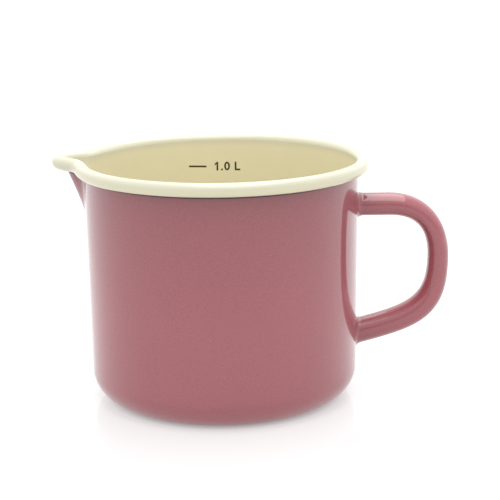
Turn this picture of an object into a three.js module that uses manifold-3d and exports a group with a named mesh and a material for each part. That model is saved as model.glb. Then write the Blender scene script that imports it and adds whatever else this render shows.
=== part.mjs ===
// Enamelled pouring pot: a drawn steel pot with a pressed spout, a rolled rim and a hollow handle.
// Millimetres. +Z is up, +X points to the handle, -X to the spout, origin under the middle of the base.
import * as THREE from "three";
import { mergeVertices } from "three/addons/utils/BufferGeometryUtils.js";
import Module from "manifold-3d";

const wasm = await Module();
wasm.setup();

// ---------- driving dimensions ----------
const BASE_RADIUS = 59.5; // outside of the wall at the foot of its slight taper
const RIM_RADIUS = 60.5; // outside of the wall just under the rolled rim
const CORNER_RADIUS = 13; // outside radius between the base and the wall
const BEAD_HEIGHT = 104.8; // centre of the rolled rim above the base
const BEAD_RADIUS = 3; // rolled rim, round in section
const STEEL = 0.6; // drawn sheet
const COAT = 0.2; // fired enamel on each side of the sheet
const WALL = STEEL + 2 * COAT;
const LAYER_GAP = 0.02; // hairline between the sheet and its coats, so that each is a body of its own
const OUTER_FACE = COAT + STEEL + LAYER_GAP; // depth of the outer coats' inner side

const SPOUT_REACH = 9.2; // how far the lip stands out past the wall
const SPOUT_LIFT = 1.6; // how far the lip stands up past the rim
const SPOUT_DEPTH = 25; // how far down the wall the press reaches
const SPOUT_HALF_ANGLE = THREE.MathUtils.degToRad(6.5); // half width at the rim
const LIFT_HALF_ANGLE = THREE.MathUtils.degToRad(18); // half width of the lip's rise
const SPOUT_TAPER = 0.45; // share of the width lost at the foot of the press
const REACH_POWER = 1.4; // how the press deepens up the wall
const LIFT_POWER = 3; // how the lip's rise grows up the wall

const COAT_TOP = BEAD_HEIGHT - 3.9; // the rose coat stops here, under the rolled rim
const LINE_HEIGHT = 0.7; // ground coat left showing above it
const LINING_END = THREE.MathUtils.degToRad(-60); // the lining stops here, a little under the rolled rim
const CURL_END = THREE.MathUtils.degToRad(-130); // where the rolled rim's curl stops, back under itself

const HANDLE_TOP = 85.4; // centre line of the upper leg
const HANDLE_FOOT = 27.1; // centre line of the lower leg where it meets the wall
const HANDLE_REACH = 96.3; // centre line of the grip, from the pot's axis
const GRIP_HEIGHT = 61.9; // where the grip stands furthest out
const HANDLE_LEG = 13.5; // straight part of the upper leg, from the wall
const BEND_START = 17; // how far the centre line's four control points stand off their ends
const BEND_END = 11.2;
const GRIP_RUN = 24.5;
const LOWER_RUN = 25.6;
const LOWER_RISE = 6.6;
const IN_WALL = 5; // how far the line runs on into the pot at each end, to be cut to fit
const HANDLE_WIDTH = 12.5; // section, across the handle
const HANDLE_DEPTH = 10; // section, from the palm side to the back of the hand, before it is pressed
const HANDLE_DEPTHS = [
  [12.5, 10.1], // distance along the handle from the wall, and its depth there once pressed
  [36.5, 9.05],
  [52.5, 9.45],
  [82, 11.15],
];
const HANDLE_ROUNDNESS = 2.2; // exponent of the section's superellipse
const HANDLE_SHEET = 0.8;
const VENT_RADIUS = 1; // lets gas out of the hollow handle while the enamel is fired
const VENT_REACH = 10; // from the wall
const VENT_RISE = 2.8; // of the lower leg's centre line there, above its foot
const VENT_DEPTH = 5.5;

const WELD_THICKNESS = 1.2;
const WELD_MARGIN = 0.9; // how far each weld stands out round the handle
const FIT_GAP = 0.3; // clearance where one piece is cut to fit another
const SKIN_GAP = 0.1; // clearance between the handle's pressings and their skin

const MARK_HEIGHT = 92.5; // one litre of liquid stands this high above the base
const MARK_CAP = 4.2; // height of the figures
const MARK_STROKE = 0.85;
const MARK_THICKNESS = 0.15;
const DASH_LEFT = -16.75; // the mark's parts, to the right of the middle of the pot's back
const DASH_WIDTH = 8.5;
const DASH_BOTTOM = 0.05;
const DASH_DIP = 0.5; // the dash runs down a little to the right
const ONE_LEFT = -4.3;
const ONE_STEM = 0.9; // from the tip of the flag to the stem
const FLAG_DROP = 0.95; // of the flag's tip below the top of the figure
const FLAG_CUT = 0.15; // how far the flag's slope stands off the stem's corner
const POINT_LEFT = -1.2;
const ZERO_LEFT = 0.3;
const ZERO_WIDTH = 2.8;
const LETTER_LEFT = 5.4;
const LETTER_WIDTH = 2.65;

const SEGMENTS = 56; // steps round the pot
const SEGMENT_WARP = 0.7; // 0 spaces the steps evenly, more crowds them at the spout
const CORNER_STEPS = 4;
const SPOUT_STEPS = 4;
const CURL_STEPS = 6; // along the rolled rim as far as the lining goes
const BARE_STEPS = 2; // and from there to the end of the curl
const SECTION_STEPS = 20;
const SEAM_ANGLE = THREE.MathUtils.degToRad(2); // half the slit between the handle's two pressings
const PLUG_SEGMENTS = 96;
const VENT_SIDES = 12;
const PATH_STEPS = 22;

// ---------- materials ----------
function finish(color, roughness, metalness) {
  return new THREE.MeshStandardMaterial({ color, roughness, metalness });
}
const steel = finish(0x8c8f92, 0.45, 1);
const cream = finish(0xece7c4, 0.18, 0);
const rose = finish(0xa96d76, 0.22, 0);
const groundCoat = finish(0x2b2422, 0.35, 0);
const ink = finish(0x3a2f16, 0.4, 0);

const pot = new THREE.Group();
pot.name = "pouring_pot";

function add(name, geometry, material) {
  const mesh = new THREE.Mesh(geometry, material);
  mesh.name = name;
  pot.add(mesh);
}

// ---------- the sheet: stations along its inside face, from the middle of the base to the curl ----------
const INNER_RIM = RIM_RADIUS - WALL;
const FLAT_RADIUS = BASE_RADIUS - CORNER_RADIUS;
const PRESS_FOOT = BEAD_HEIGHT - SPOUT_DEPTH;

function innerRadius(z) {
  const rise = (z - CORNER_RADIUS) / (BEAD_HEIGHT - CORNER_RADIUS);
  return BASE_RADIUS - WALL + rise * (RIM_RADIUS - BASE_RADIUS);
}

// A station holds a point of the inside face, the direction through the sheet there, and the press depth.
function wallStation(z) {
  const press = THREE.MathUtils.clamp((z - PRESS_FOOT) / SPOUT_DEPTH, 0, 1);
  const r = innerRadius(z);
  return { r, z, through: [1, 0], press, path: r };
}

function baseStation(r) {
  return { r, z: WALL, through: [0, -1], press: 0, path: r };
}

function cornerStation(angle) {
  const through = [Math.cos(angle), Math.sin(angle)];
  const r = FLAT_RADIUS + (CORNER_RADIUS - WALL) * through[0];
  const z = CORNER_RADIUS + (CORNER_RADIUS - WALL) * through[1];
  return { r, z, through, press: 0, path: r };
}

function curlStation(angle) {
  const out = [Math.cos(angle), Math.sin(angle)];
  const r = INNER_RIM + BEAD_RADIUS * (1 + out[0]);
  const z = BEAD_HEIGHT + BEAD_RADIUS * out[1];
  return { r, z, through: [-out[0], -out[1]], press: 1, path: INNER_RIM };
}

function range(count, make) {
  return Array.from({ length: count }, (_, i) => make(i));
}

function curlStations(start, end, steps) {
  return range(steps + 1, (i) => curlStation(start + ((end - start) * i) / steps));
}

const baseAndCorner = [
  baseStation(0),
  ...range(CORNER_STEPS + 1, (i) => cornerStation((-Math.PI / 2) * (1 - i / CORNER_STEPS))),
];
const pressedWall = range(SPOUT_STEPS + 1, (i) =>
  wallStation(PRESS_FOOT + ((COAT_TOP - PRESS_FOOT) * i) / SPOUT_STEPS),
);
const underBead = [
  wallStation(COAT_TOP + LAYER_GAP),
  wallStation(COAT_TOP + LINE_HEIGHT),
];
const linedCurl = curlStations(Math.PI, LINING_END, CURL_STEPS);
const bareCurl = curlStations(LINING_END, CURL_END, BARE_STEPS);
const coatedWall = [...baseAndCorner, ...pressedWall];
const linedSheet = [...coatedWall, underBead[1], ...linedCurl];
const wholeSheet = [...linedSheet, ...bareCurl.slice(1)];

// ---------- the spout: a bump of the wall, widest and deepest at the rim ----------
function spoutAt(angle, press) {
  const half = SPOUT_HALF_ANGLE * (1 - SPOUT_TAPER * (1 - press));
  const away = (angle - Math.PI) / half;
  const out = SPOUT_REACH * press ** REACH_POWER * Math.exp(-(away ** 2));
  const slope = (-2 * away * out) / half; // change of out with the angle
  const rise = Math.exp(-(((angle - Math.PI) / LIFT_HALF_ANGLE) ** 2));
  return { out, slope, lift: SPOUT_LIFT * press ** LIFT_POWER * rise };
}

// Crowds the lathe's even steps towards the spout.
function warp(angle) {
  return angle + SEGMENT_WARP * Math.sin(angle);
}

// Turns a profile of {station, depth} points about the axis and presses the spout into it.
// Each point keeps its own distance from the pressed face, so the sheet's thickness stays true.
function turn(profile) {
  const points = profile.map(
    ({ station, depth }) =>
      new THREE.Vector2(
        station.r + station.through[0] * depth,
        station.z + station.through[1] * depth,
      ),
  );
  const geometry = new THREE.LatheGeometry(points, SEGMENTS);
  const position = geometry.attributes.position;
  for (let i = 0; i < position.count; i++) {
    const step = Math.floor(i / points.length) % SEGMENTS;
    const angle = warp((step / SEGMENTS) * 2 * Math.PI);
    const { station } = profile[i % points.length];
    const point = points[i % points.length];
    const spout = spoutAt(angle, station.press);
    const path = station.path + spout.out;
    const aside = point.x - station.path;
    const length = Math.hypot(path, spout.slope) || 1; // the middle of the base has no direction
    const radial = path + (aside * path) / length;
    const along = (-aside * spout.slope) / length;
    position.setXYZ(
      i,
      radial * Math.cos(angle) - along * Math.sin(angle),
      radial * Math.sin(angle) + along * Math.cos(angle),
      point.y + spout.lift,
    );
  }
  geometry.deleteAttribute("normal");
  geometry.deleteAttribute("uv");
  return geometry;
}

// Splits a lathe's quads along their other diagonal, between two points of the profile.
function crossDiagonals(geometry, profileLength, from, to) {
  const index = geometry.index.array;
  const quads = profileLength - 1;
  for (let i = 0; i < index.length / 6; i++) {
    const quad = i % quads;
    if (quad < from || quad >= to) continue;
    const [a, b, d, c] = index.slice(6 * i, 6 * i + 4);
    index.set([a, b, c, a, c, d], 6 * i);
  }
}

// Turns a closed profile made of runs along the sheet, each at its own depth below the inside face.
// A run that goes back is split along crossed diagonals, to match its neighbour.
function turnRuns(runs) {
  const profile = [];
  const backRuns = [];
  for (const { stations, depth, back } of runs) {
    const start = profile.length;
    const ordered = back ? [...stations].reverse() : stations;
    for (const station of ordered) profile.push({ station, depth });
    if (back) backRuns.push([start, profile.length]);
  }
  const reachesAxis = profile[0].station.r === 0;
  if (!reachesAxis) profile.push(profile[0]);
  const geometry = turn(profile);
  for (const [from, to] of backRuns) crossDiagonals(geometry, profile.length, from, to);
  return geometry;
}

// One layer of the wall, between two depths.
function layer(stations, near, far) {
  return turnRuns([
    { stations, depth: far },
    { stations, depth: near, back: true },
  ]);
}

// The bare ground coat: from the wall under the rim through the curl and round the sheet's edge to
// the lining.
function rimCoat() {
  const hairline = LAYER_GAP / BEAD_RADIUS;
  const pastEdge = curlStation(CURL_END - hairline);
  const wrappedEdge = curlStation(CURL_END - COAT / BEAD_RADIUS);
  const inside = [...underBead, ...linedCurl, ...bareCurl.slice(1)];
  const outside = [curlStation(LINING_END - hairline), ...bareCurl.slice(1)];
  return turnRuns([
    { stations: [...inside, wrappedEdge], depth: WALL },
    { stations: [...outside, wrappedEdge], depth: 0, back: true },
    { stations: [...outside, pastEdge], depth: COAT - LAYER_GAP },
    { stations: [...inside, pastEdge], depth: OUTER_FACE, back: true },
  ]);
}

// ---------- solids: boolean cuts ----------
function toSolid(geometry) {
  const plain = geometry.clone();
  plain.deleteAttribute("normal");
  plain.deleteAttribute("uv");
  const merged = mergeVertices(plain, 1e-4);
  const vertProperties = merged.attributes.position.array;
  const triVerts = new Uint32Array(merged.index.array);
  return new wasm.Manifold(new wasm.Mesh({ numProp: 3, vertProperties, triVerts }));
}

function toGeometry(solid) {
  const { vertProperties, triVerts } = solid.getMesh();
  const geometry = new THREE.BufferGeometry();
  geometry.setAttribute("position", new THREE.BufferAttribute(vertProperties, 3));
  geometry.setIndex(new THREE.BufferAttribute(triVerts, 1));
  return geometry;
}

// A plug of the pot's wall, grown outwards by a clearance, for cutting the handle's ends to fit.
function wallPlug(clearance) {
  const foot = CORNER_RADIUS;
  const top = COAT_TOP;
  const profile = [
    new THREE.Vector2(0, foot),
    new THREE.Vector2(innerRadius(foot) + WALL + clearance, foot),
    new THREE.Vector2(innerRadius(top) + WALL + clearance, top),
    new THREE.Vector2(0, top),
  ];
  return toSolid(new THREE.LatheGeometry(profile, PLUG_SEGMENTS).rotateX(Math.PI / 2));
}

// ---------- handle ----------
function at(x, z) {
  return new THREE.Vector3(x, 0, z);
}

// The handle's depth at a distance along it from the wall.
function depthAt(distance) {
  let depth = HANDLE_DEPTHS[0][1];
  for (let i = 1; i < HANDLE_DEPTHS.length; i++) {
    const [start, before] = HANDLE_DEPTHS[i - 1];
    const [end, after] = HANDLE_DEPTHS[i];
    depth += (after - before) * THREE.MathUtils.smoothstep(distance, start, end);
  }
  return depth;
}

// A path in the pot's middle plane. Its section keeps its width across that plane all the way, and is
// pressed to its own depth at each step.
class MiddlePlanePath extends THREE.CurvePath {
  computeFrenetFrames(steps) {
    const across = new THREE.Vector3(0, -1, 0);
    const stride = this.getLength() / steps;
    const tangents = range(steps + 1, (i) => this.getTangentAt(i / steps));
    const normals = tangents.map(() => across);
    const binormals = tangents.map((tangent, i) => {
      const pressed = depthAt(i * stride - IN_WALL) / HANDLE_DEPTH;
      return tangent.clone().cross(across).multiplyScalar(pressed);
    });
    return { tangents, normals, binormals };
  }
}

// Centre line: a straight upper leg, a bend into the grip and a long bend back to the wall.
function handlePath() {
  const upperRoot = at(RIM_RADIUS, HANDLE_TOP);
  const bend = at(RIM_RADIUS + HANDLE_LEG, HANDLE_TOP);
  const grip = at(HANDLE_REACH, GRIP_HEIGHT);
  const lowerRoot = at(RIM_RADIUS, HANDLE_FOOT);
  const lowerLeg = at(LOWER_RUN, LOWER_RISE);
  const bendCorner = bend.clone().add(at(BEND_START, 0));
  const gripTop = grip.clone().add(at(0, BEND_END));
  const gripFoot = grip.clone().sub(at(0, GRIP_RUN));
  const lowerBend = lowerRoot.clone().add(lowerLeg);
  const upperEnd = upperRoot.clone().sub(at(IN_WALL, 0));
  const lowerEnd = lowerRoot.clone().sub(lowerLeg.setLength(IN_WALL));
  const path = new MiddlePlanePath();
  path.add(new THREE.LineCurve3(upperEnd, bend));
  path.add(new THREE.CubicBezierCurve3(bend, bendCorner, gripTop, grip));
  path.add(new THREE.CubicBezierCurve3(grip, gripFoot, lowerBend, lowerRoot));
  path.add(new THREE.LineCurve3(lowerRoot, lowerEnd));
  return path;
}

// Points of the handle's rounded section, grown or shrunk by an offset, between two angles.
function sectionArc(offset, start, end, steps) {
  const power = 2 / HANDLE_ROUNDNESS;
  const rounded = (value) => Math.sign(value) * Math.abs(value) ** power;
  return range(steps, (i) => {
    const angle = start + ((end - start) * i) / (steps - 1);
    return new THREE.Vector2(
      (HANDLE_WIDTH / 2 + offset) * rounded(Math.cos(angle)),
      (HANDLE_DEPTH / 2 + offset) * rounded(Math.sin(angle)),
    );
  });
}

function sectionRing(outer, inner) {
  const shape = new THREE.Shape(sectionArc(outer, 0, 2 * Math.PI, SECTION_STEPS + 1).slice(0, -1));
  const hollow = sectionArc(inner, 0, 2 * Math.PI, SECTION_STEPS + 1).slice(0, -1);
  shape.holes.push(new THREE.Path(hollow));
  return shape;
}

// One pressed half of the handle's tube: a channel, open towards the other half.
function sectionChannel(outer, inner, start) {
  const first = start + SEAM_ANGLE;
  const last = start + Math.PI - SEAM_ANGLE;
  const steps = SECTION_STEPS / 2 + 1;
  return new THREE.Shape([
    ...sectionArc(outer, first, last, steps),
    ...sectionArc(inner, last, first, steps),
  ]);
}

const handleLine = handlePath();
function alongHandle(shape) {
  const options = { steps: PATH_STEPS, bevelEnabled: false, extrudePath: handleLine };
  return toSolid(new THREE.ExtrudeGeometry(shape, options));
}

// A drill through the underside of the lower leg, where rinsing water can run out too.
function ventDrill() {
  const drill = new THREE.CylinderGeometry(VENT_RADIUS, VENT_RADIUS, VENT_DEPTH, VENT_SIDES);
  drill.rotateX(Math.PI / 2);
  drill.translate(RIM_RADIUS + VENT_REACH, 0, HANDLE_FOOT + VENT_RISE - VENT_DEPTH);
  return toSolid(drill);
}

function addHandle() {
  const wallAndWeld = wallPlug(2 * FIT_GAP + WELD_THICKNESS);
  const drill = ventDrill();
  const sheetFace = -COAT - SKIN_GAP;
  const sheetBack = sheetFace - HANDLE_SHEET;
  const skin = alongHandle(sectionRing(0, -COAT));
  const palmSide = alongHandle(sectionChannel(sheetFace, sheetBack, 0));
  const backSide = alongHandle(sectionChannel(sheetFace, sheetBack, Math.PI));
  add("handle_enamel", toGeometry(skin.subtract(wallAndWeld).subtract(drill)), rose);
  add("handle_inner_pressing", toGeometry(palmSide.subtract(wallAndWeld).subtract(drill)), steel);
  add("handle_outer_pressing", toGeometry(backSide.subtract(wallAndWeld).subtract(drill)), steel);
}

// Each weld is a collar round the handle's hollow, between the wall and the cut end of the handle.
function addWelds() {
  const collar = alongHandle(sectionRing(WELD_MARGIN, -COAT - HANDLE_SHEET))
    .intersect(wallPlug(FIT_GAP + WELD_THICKNESS))
    .subtract(wallPlug(FIT_GAP));
  const [low, high] = collar
    .decompose()
    .sort((a, b) => a.boundingBox().min[2] - b.boundingBox().min[2]);
  add("upper_weld", toGeometry(high), rose);
  add("lower_weld", toGeometry(low), rose);
}

// ---------- volume mark, fired on the lining opposite the pourer ----------
// Figures are drawn flat, x to the right and y up from the mark's height, then wrapped on the wall.
function wrapOnLining(shape) {
  const geometry = new THREE.ExtrudeGeometry(shape, { depth: MARK_THICKNESS, bevelEnabled: false });
  const position = geometry.attributes.position;
  for (let i = 0; i < position.count; i++) {
    const z = MARK_HEIGHT + position.getY(i);
    const wall = innerRadius(z);
    const angle = Math.PI / 2 - position.getX(i) / wall;
    const radius = wall - FIT_GAP - position.getZ(i);
    position.setXYZ(i, radius * Math.cos(angle), radius * Math.sin(angle), z);
  }
  return geometry;
}

function polygon(...corners) {
  return new THREE.Shape(corners.map(([x, y]) => new THREE.Vector2(x, y)));
}

// A level bar, or one that dips towards its right end.
function bar(left, bottom, width, dip = 0) {
  const right = left + width;
  return polygon(
    [left, bottom],
    [right, bottom - dip],
    [right, bottom - dip + MARK_STROKE],
    [left, bottom + MARK_STROKE],
  );
}

function figureOne(left, bottom) {
  const top = bottom + MARK_CAP;
  const stem = left + ONE_STEM;
  const shoulder = top - FLAG_DROP;
  return polygon(
    [stem, bottom],
    [stem + MARK_STROKE, bottom],
    [stem + MARK_STROKE, top],
    [stem + FLAG_CUT, top],
    [left, shoulder],
    [left, shoulder - MARK_STROKE],
    [stem, shoulder - FLAG_CUT],
  );
}

function figureZero(left, bottom, width) {
  const middle = [left + width / 2, bottom + MARK_CAP / 2];
  const radii = [width / 2, MARK_CAP / 2];
  const shape = new THREE.Shape().absellipse(...middle, ...radii, 0, 2 * Math.PI);
  const hollow = radii.map((radius) => radius - MARK_STROKE);
  shape.holes.push(new THREE.Path().absellipse(...middle, ...hollow, 0, 2 * Math.PI));
  return shape;
}

function letterL(left, bottom, width) {
  const right = left + width;
  const top = bottom + MARK_CAP;
  return polygon(
    [left, bottom],
    [right, bottom],
    [right, bottom + MARK_STROKE],
    [left + MARK_STROKE, bottom + MARK_STROKE],
    [left + MARK_STROKE, top],
    [left, top],
  );
}

function addMark() {
  const bottom = -MARK_CAP / 2;
  const marks = {
    line: bar(DASH_LEFT, DASH_BOTTOM, DASH_WIDTH, DASH_DIP),
    one: figureOne(ONE_LEFT, bottom),
    point: bar(POINT_LEFT, bottom, MARK_STROKE),
    zero: figureZero(ZERO_LEFT, bottom, ZERO_WIDTH),
    litre: letterL(LETTER_LEFT, bottom, LETTER_WIDTH),
  };
  for (const [name, shape] of Object.entries(marks)) add("mark_" + name, wrapOnLining(shape), ink);
}

// ---------- pot ----------
add("body_steel", layer(wholeSheet, COAT, COAT + STEEL), steel);
add("lining_enamel", layer(linedSheet, 0, COAT - LAYER_GAP), cream);
add("outer_enamel", layer(coatedWall, OUTER_FACE, WALL), rose);
add("rim_ground_coat", rimCoat(), groundCoat);
addHandle();
addWelds();
addMark();

export default pot;
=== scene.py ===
"""An enamelled steel pouring pot: fine shapes, enamel materials, studio and camera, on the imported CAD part.

The part's frame has +Z up, +X towards the handle and -X towards the spout. Its origin is under the middle of
the base. Shapes are worked out in millimetres, as in the CAD part, and make_mesh() turns them into metres.
"""
import math
from collections import namedtuple

import bmesh
import bpy
from mathutils import Euler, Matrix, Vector


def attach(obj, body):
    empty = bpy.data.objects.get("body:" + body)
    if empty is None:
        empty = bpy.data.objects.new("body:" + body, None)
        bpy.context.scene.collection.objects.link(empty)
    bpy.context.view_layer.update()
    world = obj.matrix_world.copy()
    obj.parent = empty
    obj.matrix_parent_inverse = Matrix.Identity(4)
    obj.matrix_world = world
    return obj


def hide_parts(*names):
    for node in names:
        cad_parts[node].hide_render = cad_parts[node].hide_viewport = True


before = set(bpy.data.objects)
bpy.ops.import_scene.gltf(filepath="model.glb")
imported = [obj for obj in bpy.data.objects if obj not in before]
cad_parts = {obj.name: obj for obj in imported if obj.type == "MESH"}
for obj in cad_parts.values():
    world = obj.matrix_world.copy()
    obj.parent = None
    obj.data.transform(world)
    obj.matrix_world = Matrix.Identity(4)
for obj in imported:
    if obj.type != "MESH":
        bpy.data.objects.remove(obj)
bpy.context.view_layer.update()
scene = bpy.context.scene
MM = 0.001

# ---------- dimensions of the part, in millimetres ----------
BASE_RADIUS = 59.5  # outside of the wall at the foot of its slight taper
RIM_RADIUS = 60.5  # outside of the wall just under the rolled rim
CORNER_RADIUS = 13
BEAD_HEIGHT = 104.8  # centre of the rolled rim
BEAD_RADIUS = 3
STEEL = 0.6
COAT = 0.2
WALL = STEEL + 2 * COAT
LAYER_GAP = 0.02
OUTER_FACE = COAT + STEEL + LAYER_GAP  # depth of the outer coat's inner side

SPOUT_REACH = 9.2  # how far the press moves the rim out
SPOUT_LIFT = 1.6  # and up
SPOUT_DEPTH = 25  # from the rolled rim's centre down to the foot of the pressing
SPOUT_HALF_ANGLE = math.radians(6.5)
LIFT_HALF_ANGLE = math.radians(18)
SPOUT_TAPER = 0.45  # how much narrower the pressing is at its foot
REACH_POWER = 1.4  # how the press deepens towards the rim
LIFT_POWER = 3

COAT_TOP = BEAD_HEIGHT - 3.9  # where the outer coat stops, under the rolled rim
LINE_HEIGHT = 0.7  # of the dark ground coat left bare above it
CURL_END = math.radians(-130)
LINING_END = math.radians(-60)  # the lining stops here, a little under the rolled rim

HANDLE_TOP = 85.4  # height of the handle's centre line at its upper root
HANDLE_FOOT = 27.1  # and at its lower one
HANDLE_REACH = 96.3  # from the pot's axis to the centre line at the grip
GRIP_HEIGHT = 61.9
HANDLE_LEG = 13.5  # straight part of the upper leg, from the wall
BEND_START = 17  # how far the centre line's four control points stand off their ends
BEND_END = 11.2
GRIP_RUN = 24.5
LOWER_RUN = 25.6
LOWER_RISE = 6.6
HANDLE_WIDTH = 12.5
HANDLE_DEPTHS = ((12.5, 10.1), (36.5, 9.05), (52.5, 9.45), (82, 11.15))  # distance along it, depth there
HANDLE_ROUNDNESS = 2.2  # the power of its section: 2 is an ellipse, and more is squarer
HANDLE_SHEET = 0.8
SKIN_GAP = 0.1
VENT_RADIUS = 1
VENT_REACH = 10  # from the wall
VENT_RISE = 2.8  # of the lower leg's centre line there, above its foot
VENT_DEPTH = 5.5
SEAM_ANGLE = math.radians(2)  # half the slit between the handle's two pressings
SKIN_END = 0.3  # the handle's skin stops this far off the wall, under the fillet
SHEET_END = 0.6  # and its pressings a little further off
FILLET_PROUD = 0.01
FILLET_SUNK = 0.1
FILLET = 2.4  # how far the enamel's fillet runs out along the handle and up the wall

MARK_HEIGHT = 92.5
MARK_CAP = 4.2
MARK_STROKE = 0.85
DASH_LEFT = -16.75  # the mark's parts, to the right of the middle of the pot's back
DASH_WIDTH = 8.5
DASH_BOTTOM = 0.05
DASH_DIP = 0.5  # the dash runs down a little to the right
ONE_LEFT = -4.3
ONE_STEM = 0.9  # from the tip of the flag to the stem
FLAG_DROP = 0.95
FLAG_CUT = 0.15
POINT_LEFT = -1.2
ZERO_LEFT = 0.3
ZERO_WIDTH = 2.8
LETTER_LEFT = 5.4
LETTER_WIDTH = 2.65
MARK_PROUD = 0.04  # the print stands this far off the lining
MARK_SUNK = 0.01

# ---------- fineness ----------
SEGMENTS = 360
SEGMENT_WARP = 0.7  # crowds the segments towards the spout
BASE_STEPS = 12
CORNER_STEPS = 16
WALL_STEPS = 12
PRESS_STEPS = 24
CURL_STEPS = 28  # of the curl, as far as the lining goes
BARE_STEPS = 8  # and of the rest of it
SECTION_STEPS = 96
PATH_STEPS = 150
STRETCH_STEPS = 400  # in each stretch of the handle's line, before it is spaced evenly
TRIM_ROUNDS = 4  # slides along the handle to reach the curved wall
TRIMMED_ROWS = 4  # steps along the handle given up to each trimmed end
FILLET_STEPS = 8
VENT_STEPS = 48
BAR_STEPS = 12
ZERO_STEPS = 48
FLOOR_STEPS = 128
CREASE = 40  # degrees; faces that meet more sharply show an edge
FILLET_CREASE = 60
WELD_DISTANCE = 1e-6  # points this close are one point

INNER_RIM = RIM_RADIUS - WALL
FLAT_RADIUS = BASE_RADIUS - CORNER_RADIUS
PRESS_FOOT = BEAD_HEIGHT - SPOUT_DEPTH


# ---------- making meshes ----------
def make_mesh(name, points, faces, material, crease=CREASE):
    """A closed mesh from points in millimetres, smooth but for edges sharper than crease degrees."""
    mesh = bpy.data.meshes.new(name)
    mesh.from_pydata([Vector(point) * MM for point in points], [], faces)
    shape = bmesh.new()
    shape.from_mesh(mesh)
    bmesh.ops.remove_doubles(shape, verts=shape.verts, dist=WELD_DISTANCE * MM)
    bmesh.ops.recalc_face_normals(shape, faces=shape.faces)
    shape.to_mesh(mesh)
    shape.free()
    mesh.materials.append(material)
    mesh.polygons.foreach_set("use_smooth", [True] * len(mesh.polygons))
    mesh.set_sharp_from_angle(angle=math.radians(crease))
    piece = bpy.data.objects.new(name, mesh)
    scene.collection.objects.link(piece)
    return piece


def stand_for(piece, node):
    """The piece takes the place of a CAD node and rides where it did."""
    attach(piece, "root")
    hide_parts(node)
    return piece


def grid_faces(rows, columns, close_rows, close_columns):
    """Quads over a grid of points numbered row by row."""
    faces = []
    for row in range(rows if close_rows else rows - 1):
        for column in range(columns if close_columns else columns - 1):
            next_row = (row + 1) % rows
            next_column = (column + 1) % columns
            faces.append((
                row * columns + column,
                row * columns + next_column,
                next_row * columns + next_column,
                next_row * columns + column,
            ))
    return faces


def end_caps(rows, columns):
    """Faces that close the first and last rows of a grid of points."""
    start = (rows - 1) * columns
    return [tuple(range(columns)), tuple(range(start, start + columns))]


def steps(start, end, count):
    """Evenly spaced values from start to end, both included."""
    return [start + (end - start) * i / count for i in range(count + 1)]


# ---------- the sheet's stations, from the middle of the base to the end of the curl ----------
# A station lies at r, z on the inside face, and through is the direction from there to the outside face.
# press is how far up the spout's pressing it is, from 0 to 1, and path is the radius that the press widens.
Station = namedtuple("Station", "r z through press path")


def inner_radius(z):
    """Radius of the inside face of the slightly flared wall."""
    rise = (z - CORNER_RADIUS) / (BEAD_HEIGHT - CORNER_RADIUS)
    return BASE_RADIUS - WALL + rise * (RIM_RADIUS - BASE_RADIUS)


def wall_station(z):
    press = min(max((z - PRESS_FOOT) / SPOUT_DEPTH, 0), 1)
    r = inner_radius(z)
    return Station(r, z, (1, 0), press, r)


def base_station(r):
    return Station(r, WALL, (0, -1), 0, r)


def corner_station(angle):
    through = (math.cos(angle), math.sin(angle))
    r = FLAT_RADIUS + (CORNER_RADIUS - WALL) * through[0]
    z = CORNER_RADIUS + (CORNER_RADIUS - WALL) * through[1]
    return Station(r, z, through, 0, r)


def curl_station(angle):
    out = (math.cos(angle), math.sin(angle))
    r = INNER_RIM + BEAD_RADIUS * (1 + out[0])
    z = BEAD_HEIGHT + BEAD_RADIUS * out[1]
    return Station(r, z, (-out[0], -out[1]), 1, INNER_RIM)


BASE = [base_station(r) for r in steps(0, FLAT_RADIUS, BASE_STEPS)]
CORNER = [corner_station(angle) for angle in steps(-math.pi / 2, 0, CORNER_STEPS)]
LOWER_WALL = [wall_station(z) for z in steps(CORNER_RADIUS, PRESS_FOOT, WALL_STEPS)]
PRESSED_WALL = [wall_station(z) for z in steps(PRESS_FOOT, COAT_TOP, PRESS_STEPS)]
UNDER_BEAD = [wall_station(COAT_TOP + LAYER_GAP), wall_station(COAT_TOP + LINE_HEIGHT)]
LINED_CURL = [curl_station(angle) for angle in steps(math.pi, LINING_END, CURL_STEPS)]
BARE_CURL = [curl_station(angle) for angle in steps(LINING_END, CURL_END, BARE_STEPS)]
COATED_WALL = BASE + CORNER[1:] + LOWER_WALL[1:] + PRESSED_WALL[1:]
LINED_SHEET = COATED_WALL + UNDER_BEAD[1:] + LINED_CURL
WHOLE_SHEET = LINED_SHEET + BARE_CURL[1:]


# ---------- the spout, pressed into the turned shape ----------
def spout_at(angle, press):
    """How far the press moves the wall out and up at an angle, and how fast the first changes with it."""
    half = SPOUT_HALF_ANGLE * (1 - SPOUT_TAPER * (1 - press))
    away = (angle - math.pi) / half
    out = SPOUT_REACH * press**REACH_POWER * math.exp(-(away**2))
    slope = -2 * away * out / half
    rise = math.exp(-(((angle - math.pi) / LIFT_HALF_ANGLE) ** 2))
    return out, slope, SPOUT_LIFT * press**LIFT_POWER * rise


def pressed_point(station, depth, angle):
    """A point at a depth below the inside face, turned to an angle, with the spout pressed in."""
    radius = station.r + station.through[0] * depth
    height = station.z + station.through[1] * depth
    out, slope, lift = spout_at(angle, station.press)
    path = station.path + out
    aside = radius - station.path
    length = math.hypot(path, slope) or 1
    radial = path + aside * path / length
    along = -aside * slope / length
    return (
        radial * math.cos(angle) - along * math.sin(angle),
        radial * math.sin(angle) + along * math.cos(angle),
        height + lift,
    )


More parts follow.
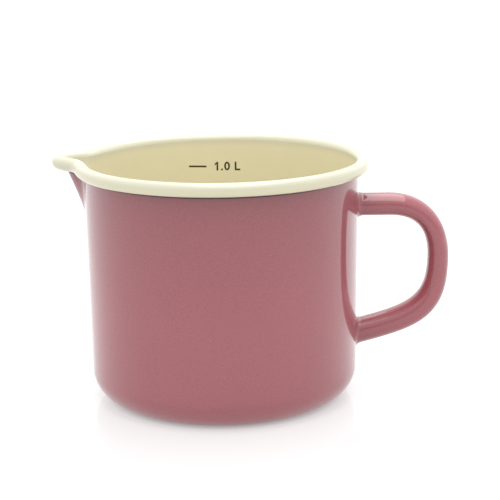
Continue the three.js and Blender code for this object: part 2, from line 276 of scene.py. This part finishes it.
def turn(name, profile, material):
    """Turns a profile of stations and depths about the pot's axis, with the spout pressed in."""
    points = []
    for step in range(SEGMENTS):
        even = 2 * math.pi * step / SEGMENTS
        angle = even + SEGMENT_WARP * math.sin(even)
        points += [pressed_point(station, depth, angle) for station, depth in profile]
    reaches_axis = profile[0][0].r == 0
    faces = grid_faces(SEGMENTS, len(profile), True, not reaches_axis)
    return make_mesh(name, points, faces, material)


def there_and_back(stations, near, far):
    """A profile out along the stations at the far depth and back at the near one."""
    return [(station, far) for station in stations] + [(station, near) for station in reversed(stations)]


def layer(name, stations, near, far, material):
    """One layer of the wall, between two depths below the inside face."""
    return turn(name, there_and_back(stations, near, far), material)


def rim_coat(name, material):
    """The bare ground coat, from under the rim through its curl and round the sheet's edge to the lining."""
    hairline = LAYER_GAP / BEAD_RADIUS
    outside = [curl_station(LINING_END - hairline)] + BARE_CURL[1:]
    past_edge = curl_station(CURL_END - hairline)
    wrapped_edge = curl_station(CURL_END - COAT / BEAD_RADIUS)
    inside = UNDER_BEAD + LINED_CURL + BARE_CURL[1:]
    profile = [(station, WALL) for station in inside + [wrapped_edge]]
    profile += there_and_back([wrapped_edge] + outside[::-1], COAT - LAYER_GAP, 0)[:-1]
    profile += [(past_edge, COAT - LAYER_GAP), (past_edge, OUTER_FACE)]
    profile += [(station, OUTER_FACE) for station in reversed(inside)]
    return turn(name, profile, material)


# ---------- the handle ----------
def line(start, end):
    return lambda t: start.lerp(end, t)


def bezier(a, b, c, d):
    return lambda t: (1 - t) ** 3 * a + 3 * t * (1 - t) ** 2 * b + 3 * t * t * (1 - t) * c + t**3 * d


def at(x, z):
    return Vector((x, 0, z))


def handle_line():
    """Points evenly spaced along the handle's centre line, from the upper root to the lower one."""
    upper_root = at(RIM_RADIUS, HANDLE_TOP)
    bend = at(RIM_RADIUS + HANDLE_LEG, HANDLE_TOP)
    grip = at(HANDLE_REACH, GRIP_HEIGHT)
    lower_root = at(RIM_RADIUS, HANDLE_FOOT)
    stretches = [
        line(upper_root, bend),
        bezier(bend, bend + at(BEND_START, 0), grip + at(0, BEND_END), grip),
        bezier(grip, grip - at(0, GRIP_RUN), lower_root + at(LOWER_RUN, LOWER_RISE), lower_root),
    ]
    fine = [stretch(t) for stretch in stretches for t in steps(0, 1, STRETCH_STEPS)[:-1]]
    fine.append(lower_root)
    travelled = [0]
    for before, after in zip(fine, fine[1:]):
        travelled.append(travelled[-1] + (after - before).length)
    points, index = [], 0
    for goal in steps(0, travelled[-1], PATH_STEPS):
        while index < len(fine) - 2 and travelled[index + 1] < goal:
            index += 1
        span = travelled[index + 1] - travelled[index]
        points.append(fine[index].lerp(fine[index + 1], (goal - travelled[index]) / span))
    return points


def rounded(value):
    """A sine or cosine, bent from an ellipse's towards a rounded box's."""
    return math.copysign(abs(value) ** (2 / HANDLE_ROUNDNESS), value)


def depth_at(distance):
    """The handle's depth, from its palm side to its back, at a distance along it from the upper root."""
    depth = HANDLE_DEPTHS[0][1]
    for (start, before), (end, after) in zip(HANDLE_DEPTHS, HANDLE_DEPTHS[1:]):
        t = min(max((distance - start) / (end - start), 0), 1)
        depth += (after - before) * t * t * (3 - 2 * t)
    return depth


def section_point(angle, offset, depth):
    """A point of the handle's section grown by an offset: how far across, and how far out from its middle."""
    across = (HANDLE_WIDTH / 2 + offset) * rounded(math.cos(angle))
    deep = (depth / 2 + offset) * rounded(math.sin(angle))
    return across, deep


def wall_outside(z):
    return inner_radius(z) + WALL


def trim_to_wall(point, direction, clearance):
    """Slides a point along the handle's direction until it stands off the wall by the clearance."""
    for _ in range(TRIM_ROUNDS):
        reach = wall_outside(point.z) + clearance
        goal = math.sqrt(reach**2 - point.y**2)
        point = point + direction * ((goal - point.x) / direction.x)
    return point


class Handle:
    """The handle's centre line in the pot's middle plane, with its direction and depth at each point."""

    def __init__(self):
        self.line = handle_line()
        last = len(self.line) - 1
        spacing = (self.line[1] - self.line[0]).length
        self.away = []
        self.depth = []
        for i in range(last + 1):
            self.away.append((self.line[min(i + 1, last)] - self.line[max(i - 1, 0)]).normalized())
            self.depth.append(depth_at(i * spacing))

    def point(self, index, angle, offset):
        across, deep = section_point(angle, offset, self.depth[index])
        away = self.away[index]
        outwards = Vector((-away.z, 0, away.x))
        return self.line[index] + Vector((0, across, 0)) + outwards * deep

    def ring(self, index, angles, offset, clearance):
        """The section at one point of the line. The first and last rings are cut to fit the wall."""
        ring = [self.point(index, angle, offset) for angle in angles]
        if index in (0, len(self.line) - 1):
            ring = [trim_to_wall(point, self.away[index], clearance) for point in ring]
        return ring


def sweep_rows(handle):
    """The points of the line that carry a section. Those next to the ends make room for the trimmed ones."""
    last = len(handle.line) - 1
    return [0, *range(TRIMMED_ROWS, last - TRIMMED_ROWS + 1), last]


def handle_skin(handle, material):
    """The enamel tube of the handle: out along its outer face and back along its inner one."""
    rows = sweep_rows(handle)
    angles = steps(0, 2 * math.pi, SECTION_STEPS)[:-1]
    points = []
    for offset, indices in ((0, rows), (-COAT, rows[::-1])):
        for index in indices:
            points += handle.ring(index, angles, offset, SKIN_END)
    faces = grid_faces(2 * len(rows), len(angles), True, True)
    return make_mesh("handle_coat", points, faces, material)


def handle_channel(name, handle, start, material):
    """One pressed half of the handle's tube: a channel, open towards the other half."""
    rows = sweep_rows(handle)
    angles = steps(start + SEAM_ANGLE, start + math.pi - SEAM_ANGLE, SECTION_STEPS // 2)
    face = -COAT - SKIN_GAP
    points = []
    for index in rows:
        points += handle.ring(index, angles, face, SHEET_END)
        points += handle.ring(index, angles[::-1], face - HANDLE_SHEET, SHEET_END)
    columns = 2 * len(angles)
    faces = grid_faces(len(rows), columns, False, True) + end_caps(len(rows), columns)
    return make_mesh(name, points, faces, material)


def drill_vent(*pieces):
    """Drills the vent through the underside of the handle's lower leg."""
    bpy.ops.mesh.primitive_cylinder_add(
        vertices=VENT_STEPS,
        radius=VENT_RADIUS * MM,
        depth=VENT_DEPTH * MM,
        location=Vector((RIM_RADIUS + VENT_REACH, 0, HANDLE_FOOT + VENT_RISE - VENT_DEPTH)) * MM,
    )
    drill = bpy.context.object
    for piece in pieces:
        cut = piece.modifiers.new("vent", "BOOLEAN")
        cut.operation = "DIFFERENCE"
        cut.object = drill
        bpy.context.view_layer.objects.active = piece
        bpy.ops.object.modifier_apply(modifier=cut.name)
        piece.data.set_sharp_from_angle(angle=math.radians(CREASE))
    bpy.data.objects.remove(drill)


def section_normal(angle, depth):
    """The direction straight out of the handle's section: its share across, and its share out."""
    across, deep = section_point(angle, 0, depth)
    power = HANDLE_ROUNDNESS - 1
    slopes = []
    for value, half in ((across, HANDLE_WIDTH / 2), (deep, depth / 2)):
        slopes.append(math.copysign(abs(value / half) ** power, value) / half)
    length = math.hypot(*slopes)
    return slopes[0] / length, slopes[1] / length


def on_wall(point, proud):
    """The point moved straight in or out to stand that far off the wall's outside."""
    reach = (wall_outside(point.z) + proud) / math.hypot(point.x, point.y)
    return Vector((point.x * reach, point.y * reach, point.z))


def root_fillet(name, handle, index, material):
    """The enamel that rounds the corner between the wall and one end of the handle."""
    away = handle.away[index]
    leg = away if index == 0 else -away
    outwards = Vector((-away.z, 0, away.x))
    points = []
    for angle in steps(0, 2 * math.pi, SECTION_STEPS)[:-1]:
        corner = trim_to_wall(handle.point(index, angle, FILLET_PROUD), away, FILLET_PROUD)
        across, deep = section_normal(angle, handle.depth[index])
        normal = Vector((0, across, 0)) + outwards * deep
        on_leg = corner + leg * FILLET
        foot = on_wall(corner + normal * FILLET, FILLET_PROUD)
        for t in steps(0, 1, FILLET_STEPS):
            points.append((1 - t) ** 2 * on_leg + 2 * t * (1 - t) * corner + t * t * foot)
        points.append(on_wall(foot, -FILLET_SUNK))
        points.append(on_wall(corner - normal * COAT, -FILLET_SUNK))
        points.append(on_leg - normal * COAT)
    faces = grid_faces(SECTION_STEPS, len(points) // SECTION_STEPS, True, True)
    return make_mesh(name, points, faces, material, crease=FILLET_CREASE)


# ---------- the volume mark, fired on the lining at the pot's back ----------
def on_lining(x, y, proud):
    """A flat point, x to the right and y up from the mark's height, wrapped on the lining."""
    z = MARK_HEIGHT + y
    angle = math.pi / 2 - x / inner_radius(z)
    radius = inner_radius(z) - proud
    return radius * math.cos(angle), radius * math.sin(angle), z


def stroke(name, rails, closed, material):
    """A printed stroke between two rails, given as pairs of flat points."""
    points = []
    for a, b in rails:
        points += [on_lining(*a, MARK_PROUD), on_lining(*b, MARK_PROUD)]
        points += [on_lining(*b, -MARK_SUNK), on_lining(*a, -MARK_SUNK)]
    columns = len(points) // len(rails)
    faces = grid_faces(len(rails), columns, closed, True)
    if not closed:
        faces += end_caps(len(rails), columns)
    return make_mesh(name, points, faces, material)


def bar_rails(left, bottom, width, dip=0):
    """A level bar, which may dip to the right."""
    rails = []
    for t in steps(0, 1, BAR_STEPS):
        x = left + width * t
        y = bottom - dip * t
        rails.append(((x, y + MARK_STROKE), (x, y)))
    return rails


def one_rails(left, bottom):
    """The figure 1: up the stem and down the flag."""
    top = bottom + MARK_CAP
    stem = left + ONE_STEM
    shoulder = top - FLAG_DROP
    crook = (stem, shoulder - FLAG_CUT)
    right = stem + MARK_STROKE
    outer = [(right, bottom), (right, top), (stem + FLAG_CUT, top), (left, shoulder)]
    inner = [(stem, bottom), crook, crook, (left, shoulder - MARK_STROKE)]
    return list(zip(outer, inner))


def zero_rails(left, bottom, width):
    """The figure 0: an oval ring."""
    middle = (left + width / 2, bottom + MARK_CAP / 2)
    rails = []
    for angle in steps(0, 2 * math.pi, ZERO_STEPS)[:-1]:
        pair = []
        for thin in (0, MARK_STROKE):
            x = middle[0] + (width / 2 - thin) * math.cos(angle)
            y = middle[1] + (MARK_CAP / 2 - thin) * math.sin(angle)
            pair.append((x, y))
        rails.append(tuple(pair))
    return rails


def letter_rails(left, bottom, width):
    """The L: down the stem and along the foot."""
    top = bottom + MARK_CAP
    inside = (left + MARK_STROKE, bottom + MARK_STROKE)
    outer = [(left, top), (left, bottom), (left + width, bottom)]
    inner = [(inside[0], top), inside, (left + width, inside[1])]
    return list(zip(outer, inner))


# ---------- materials ----------
BODY_ROSE = (0.312, 0.082, 0.098)
# painted light: the handle's rose is a slightly lighter copy of the body's, set for how the light falls on
# the handle
HANDLE_LIT_ROSE = (0.325, 0.086, 0.101)
BODY_PAINTED_SHADE_AT_RIM = 0.87  # painted shade: the wall's rose is darkened towards the rim by this factor
PAINTED_SHADE_FOOT = 45  # the painted shade starts at this height and is darkest at the next
PAINTED_SHADE_TOP = 95
RIM_PAINTED_LIGHT_FOOT = 102  # painted light: the lining's cream turns into the rim's greyer copy of it between these heights
RIM_PAINTED_LIGHT_TOP = 106
NOISE_LOW = 0.3  # nearly all of a noise pattern's values lie between these two
NOISE_HIGH = 0.7


class Material:
    """A Principled material with short ways to add patterns in the part's own coordinates."""

    def __init__(self, name, **sockets):
        self.material = bpy.data.materials.new(name)
        self.material.use_nodes = True
        self.tree = self.material.node_tree
        self.shader = self.tree.nodes["Principled BSDF"]
        self.place = self.tree.nodes.new("ShaderNodeTexCoord").outputs["Object"]
        for socket, value in sockets.items():
            self.shader.inputs[socket.replace("_", " ")].default_value = value

    def noise(self, size_mm, detail=2.0, stretch=(1, 1, 1)):
        """Noise with features of about the given size."""
        mapping = self.tree.nodes.new("ShaderNodeMapping")
        mapping.inputs["Scale"].default_value = [value / (size_mm * MM) for value in stretch]
        self.tree.links.new(self.place, mapping.inputs["Vector"])
        texture = self.tree.nodes.new("ShaderNodeTexNoise")
        texture.inputs["Scale"].default_value = 1
        texture.inputs["Detail"].default_value = detail
        self.tree.links.new(mapping.outputs["Vector"], texture.inputs["Vector"])
        return texture.outputs["Fac"]

    def grain(self, size_mm, detail, start=0.0, end=1.0):
        """Noise stretched to run from start to end."""
        return self.spread(self.noise(size_mm, detail), NOISE_LOW, NOISE_HIGH, start, end)

    def height_mm(self):
        """Height above the pot's base."""
        axes = self.tree.nodes.new("ShaderNodeSeparateXYZ")
        self.tree.links.new(self.place, axes.inputs["Vector"])
        return self.spread(axes.outputs["Z"], 0, 1, 0, 1 / MM)

    def radius_mm(self):
        """Distance from the pot's upright axis."""
        flat = self.tree.nodes.new("ShaderNodeVectorMath")
        flat.operation = "MULTIPLY"
        flat.inputs[1].default_value = (1, 1, 0)
        self.tree.links.new(self.place, flat.inputs[0])
        length = self.tree.nodes.new("ShaderNodeVectorMath")
        length.operation = "LENGTH"
        self.tree.links.new(flat.outputs["Vector"], length.inputs[0])
        return self.spread(length.outputs["Value"], 0, 1, 0, 1 / MM)

    def shade(self, colour, factor):
        """The colour multiplied by a factor."""
        node = self.tree.nodes.new("ShaderNodeVectorMath")
        node.operation = "SCALE"
        self.tree.links.new(colour, node.inputs["Vector"])
        self.tree.links.new(factor, node.inputs["Scale"])
        return node.outputs["Vector"]

    def spread(self, value, low, high, start=0.0, end=1.0):
        """The value's span from low to high, stretched to run from start to end."""
        node = self.tree.nodes.new("ShaderNodeMapRange")
        for socket, number in zip(("From Min", "From Max", "To Min", "To Max"), (low, high, start, end)):
            node.inputs[socket].default_value = number
        self.tree.links.new(value, node.inputs["Value"])
        return node.outputs["Result"]

    def mix(self, factor, first, second):
        """A colour between two, each a colour or a socket."""
        node = self.tree.nodes.new("ShaderNodeMix")
        node.data_type = "RGBA"
        self.tree.links.new(factor, node.inputs["Factor"])
        # a Mix node's colours go in at sockets 6 and 7 and come out at 2
        for socket, colour in ((node.inputs[6], first), (node.inputs[7], second)):
            if isinstance(colour, bpy.types.NodeSocket):
                self.tree.links.new(colour, socket)
            else:
                socket.default_value = (*colour, 1)
        return node.outputs[2]

    def use(self, value, socket):
        """Links a pattern to one of the shader's sockets."""
        self.tree.links.new(value, self.shader.inputs[socket])

    def bump(self, height, depth_mm):
        """A normal that rises and falls with a pattern, by the given depth."""
        node = self.tree.nodes.new("ShaderNodeBump")
        node.inputs["Distance"].default_value = depth_mm * MM
        self.tree.links.new(height, node.inputs["Height"])
        return node.outputs["Normal"]


def scaled(colour, factor):
    return tuple(value * factor for value in colour)


def rose_enamel(name, rose, painted_shade_at_rim):
    """Dusty rose enamel, speckled with fine mica under a clear glaze, and darkened a little towards the rim
    by painted shade.
    """
    made = Material(name, Specular_IOR_Level=0.15, Coat_Weight=1.0, Coat_Roughness=0.05, Coat_IOR=1.6)
    speckle = made.grain(0.45, 3)
    drift = made.grain(35, 1)
    lighter = made.mix(speckle, scaled(rose, 0.86), scaled(rose, 1.14))
    warmer = made.mix(speckle, scaled(rose, 0.83), scaled(rose, 1.10))
    # painted shade: the colour darkens with height, most towards the rim
    painted_rim_shade = made.spread(made.height_mm(), PAINTED_SHADE_FOOT, PAINTED_SHADE_TOP, 1, painted_shade_at_rim)
    made.use(made.shade(made.mix(drift, lighter, warmer), painted_rim_shade), "Base Color")
    made.use(made.grain(0.8, 2, 0.36, 0.46), "Roughness")
    made.use(made.bump(made.noise(0.5, 2), 0.004), "Normal")
    made.use(made.bump(made.noise(4.5, 1), 0.006), "Coat Normal")
    return made.material


def cream_enamel():
    """Cream enamel, glossy, a little uneven in tone where the coat ran thicker, and over the rim a greyer
    copy of the cream: painted light, set for how the light falls on the rolled rim.
    """
    cream = (0.72, 0.668, 0.459)
    # painted light: the cream's greyer copy for the rolled rim, set for how the light falls on it
    rim = (0.57, 0.553, 0.42)
    made = Material(
        "cream_enamel",
        Roughness=0.3,
        Specular_IOR_Level=0.4,
        Coat_Weight=0.6,
        Coat_Roughness=0.2,
    )
    drift = made.grain(22, 2)
    painted_rim_light = made.spread(made.height_mm(), RIM_PAINTED_LIGHT_FOOT, RIM_PAINTED_LIGHT_TOP)
    lining = made.mix(drift, scaled(cream, 1.015), scaled(cream, 0.985))
    made.use(made.mix(painted_rim_light, lining, rim), "Base Color")
    return made.material


def ground_coat():
    """The dark first coat, left bare under the rim."""
    made = Material("ground_coat", Coat_Weight=0.3)
    made.use(made.mix(made.noise(0.7, 3), (0.010, 0.007, 0.006), (0.030, 0.020, 0.016)), "Base Color")
    made.use(made.grain(0.5, 2, 0.25, 0.45), "Roughness")
    made.use(made.bump(made.noise(0.6, 2), 0.01), "Normal")
    return made.material


def mark_ink():
    """Printed ceramic ink, a little uneven and less glossy than the lining."""
    made = Material("mark_ink")
    made.use(made.mix(made.noise(0.35, 3), (0.030, 0.021, 0.007), (0.060, 0.043, 0.016)), "Base Color")
    made.use(made.grain(0.3, 2, 0.32, 0.5), "Roughness")
    return made.material


def drawn_steel():
    """Pickled sheet steel with faint drawing lines. The enamel covers it."""
    made = Material("drawn_steel", Metallic=1.0)
    lines = made.noise(0.4, 3, (1, 1, 0.06))
    made.use(made.mix(lines, (0.26, 0.27, 0.28), (0.40, 0.41, 0.42)), "Base Color")
    made.use(made.spread(lines, NOISE_LOW, NOISE_HIGH, 0.38, 0.55), "Roughness")
    made.use(made.bump(lines, 0.01), "Normal")
    return made.material


# ---------- the pot ----------
def build_body(steel, cream, rose, dark):
    """The drawn sheet and the enamel coats on it."""
    sheet = layer("drawn_sheet", WHOLE_SHEET, COAT, COAT + STEEL, steel)
    lining = layer("lining", LINED_SHEET, 0, COAT - LAYER_GAP, cream)
    outer = layer("outer_coat", COATED_WALL, OUTER_FACE, WALL, rose)
    bare = rim_coat("bare_rim_coat", dark)
    stand_for(sheet, "body_steel")
    stand_for(lining, "lining_enamel")
    stand_for(outer, "outer_enamel")
    stand_for(bare, "rim_ground_coat")


def build_handle(steel, rose):
    """The hollow handle: two pressed channels, the enamel round them and the fillets at its two roots."""
    handle = Handle()
    skin = handle_skin(handle, rose)
    palm = handle_channel("handle_palm_channel", handle, math.pi, steel)
    back = handle_channel("handle_back_channel", handle, 0, steel)
    drill_vent(skin, palm, back)
    stand_for(skin, "handle_enamel")
    stand_for(palm, "handle_inner_pressing")
    stand_for(back, "handle_outer_pressing")
    upper = root_fillet("upper_joint", handle, 0, rose)
    lower = root_fillet("lower_joint", handle, len(handle.line) - 1, rose)
    stand_for(upper, "upper_weld")
    stand_for(lower, "lower_weld")


def build_mark(ink):
    """The line and figures of the volume mark."""
    bottom = -MARK_CAP / 2
    marks = (
        ("line", bar_rails(DASH_LEFT, DASH_BOTTOM, DASH_WIDTH, DASH_DIP)),
        ("one", one_rails(ONE_LEFT, bottom)),
        ("point", bar_rails(POINT_LEFT, bottom, MARK_STROKE)),
        ("zero", zero_rails(ZERO_LEFT, bottom, ZERO_WIDTH)),
        ("litre", letter_rails(LETTER_LEFT, bottom, LETTER_WIDTH)),
    )
    for name, rails in marks:
        printed = stroke("printed_" + name, rails, name == "zero", ink)
        stand_for(printed, "mark_" + name)


# ---------- studio, in millimetres ----------
LENS = 108
SENSOR = 36
CAMERA_PLACE = Vector((12.19, -652.59, 222.46))  # from the pot's front, a little to the right and above
LOOK_DOWN = math.radians(13.563)
CAMERA_ROLL = math.radians(-0.784)

FLOOR_RADIUS = 6000
FLOOR_DROP = 0.1  # keeps the floor off the face of the base
FLOOR_GLOW = 0.52
PAINTED_SHADOW_RADIUS = 43  # painted contact shadow: the floor's glow is off inside this radius
PAINTED_SHADOW_EDGE = 11  # and the glow takes this far to reach its full strength, fading the painted shadow out

SOFTBOX_PLACE = Vector((100, 120, 1000))
SOFTBOX_AIM = Vector((100, 120, 0))
SOFTBOX_SIZE = Vector((700, 1740))
SOFTBOX_WATTS = 8.8

FRONT_BRIGHTNESS = 0.35  # of the white room, low down behind the camera
HORIZON_BRIGHTNESS = 1.15
LEFT_BRIGHTNESS = 1.3  # overhead, on the spout's side
RIGHT_BRIGHTNESS = 1.2
BACK_BRIGHTNESS = 1.35  # high up behind the pot


def add_camera():
    """The view from the pot's front, a little above it, with the spout on the left."""
    data = bpy.data.cameras.new("camera")
    data.lens = LENS
    data.sensor_width = SENSOR
    camera = bpy.data.objects.new("camera", data)
    camera.location = CAMERA_PLACE * MM
    tilt = Euler((math.pi / 2 - LOOK_DOWN, 0, 0)).to_matrix()
    roll = Euler((0, 0, CAMERA_ROLL)).to_matrix()
    camera.rotation_euler = (tilt @ roll).to_euler()
    scene.collection.objects.link(camera)
    scene.camera = camera


def add_floor():
    """A large sheet of white acrylic that glows as if lit from below, with a faint gloss. Round the pot's
    foot the glow fades out: a painted contact shadow.
    """
    bpy.ops.mesh.primitive_circle_add(
        vertices=FLOOR_STEPS,
        radius=FLOOR_RADIUS * MM,
        fill_type="NGON",
        location=(0, 0, -FLOOR_DROP * MM),
    )
    floor = bpy.context.object
    floor.name = "floor"
    white = Material(
        "white_acrylic",
        Base_Color=(0.37, 0.37, 0.37, 1),
        Roughness=0.04,
        IOR=1.33,
        Emission_Color=(1, 1, 1, 1),
    )
    # painted contact shadow: the glow fades out towards the pot's foot
    glow_and_painted_shadow = white.spread(white.radius_mm(), PAINTED_SHADOW_RADIUS, PAINTED_SHADOW_RADIUS + PAINTED_SHADOW_EDGE, 0, FLOOR_GLOW)
    white.use(glow_and_painted_shadow, "Emission Strength")
    floor.data.materials.append(white.material)


def add_softbox():
    """A large soft box overhead, facing straight down."""
    data = bpy.data.lights.new("overhead", "AREA")
    data.shape = "RECTANGLE"
    data.size = SOFTBOX_SIZE.x * MM
    data.size_y = SOFTBOX_SIZE.y * MM
    data.energy = SOFTBOX_WATTS
    lamp = bpy.data.objects.new("overhead", data)
    lamp.location = SOFTBOX_PLACE * MM
    lamp.rotation_euler = (SOFTBOX_AIM - SOFTBOX_PLACE).to_track_quat("-Z", "Y").to_euler()
    scene.collection.objects.link(lamp)


def add_surroundings():
    """A white room: dark low down behind the camera, brighter overhead, brightest high up behind the pot."""
    world = bpy.data.worlds.new("white_room")
    scene.world = world
    world.use_nodes = True
    tree = world.node_tree
    background = tree.nodes["Background"]
    direction = tree.nodes.new("ShaderNodeSeparateXYZ")
    place = tree.nodes.new("ShaderNodeTexCoord")
    tree.links.new(place.outputs["Generated"], direction.inputs["Vector"])

    def ramp(axis, low, high, start, end):
        """Brightness that runs from start to end as a direction's axis goes from low to high."""
        node = tree.nodes.new("ShaderNodeMapRange")
        for socket, number in zip(("From Min", "From Max", "To Min", "To Max"), (low, high, start, end)):
            if isinstance(number, bpy.types.NodeSocket):
                tree.links.new(number, node.inputs[socket])
            else:
                node.inputs[socket].default_value = number
        tree.links.new(direction.outputs[axis], node.inputs["Value"])
        return node.outputs["Result"]

    horizon = ramp("Y", -1, -0.4, FRONT_BRIGHTNESS, HORIZON_BRIGHTNESS)
    sides = ramp("X", -1, 1, LEFT_BRIGHTNESS, RIGHT_BRIGHTNESS)
    ceiling = ramp("Y", 0, 0.4, sides, BACK_BRIGHTNESS)
    background.inputs["Color"].default_value = (1, 1, 1, 1)
    tree.links.new(ramp("Z", 0, 0.5, horizon, ceiling), background.inputs["Strength"])


def set_picture():
    """Colours as they are, with no film look."""
    scene.view_settings.view_transform = "Standard"
    scene.view_settings.look = "None"
    scene.view_settings.exposure = 0
    scene.view_settings.gamma = 1


add_camera()
steel = drawn_steel()
build_body(steel, cream_enamel(), rose_enamel("body_rose", BODY_ROSE, BODY_PAINTED_SHADE_AT_RIM), ground_coat())
build_handle(steel, rose_enamel("handle_lit_rose", HANDLE_LIT_ROSE, 1))
build_mark(mark_ink())
add_floor()
add_surroundings()
add_softbox()
set_picture()
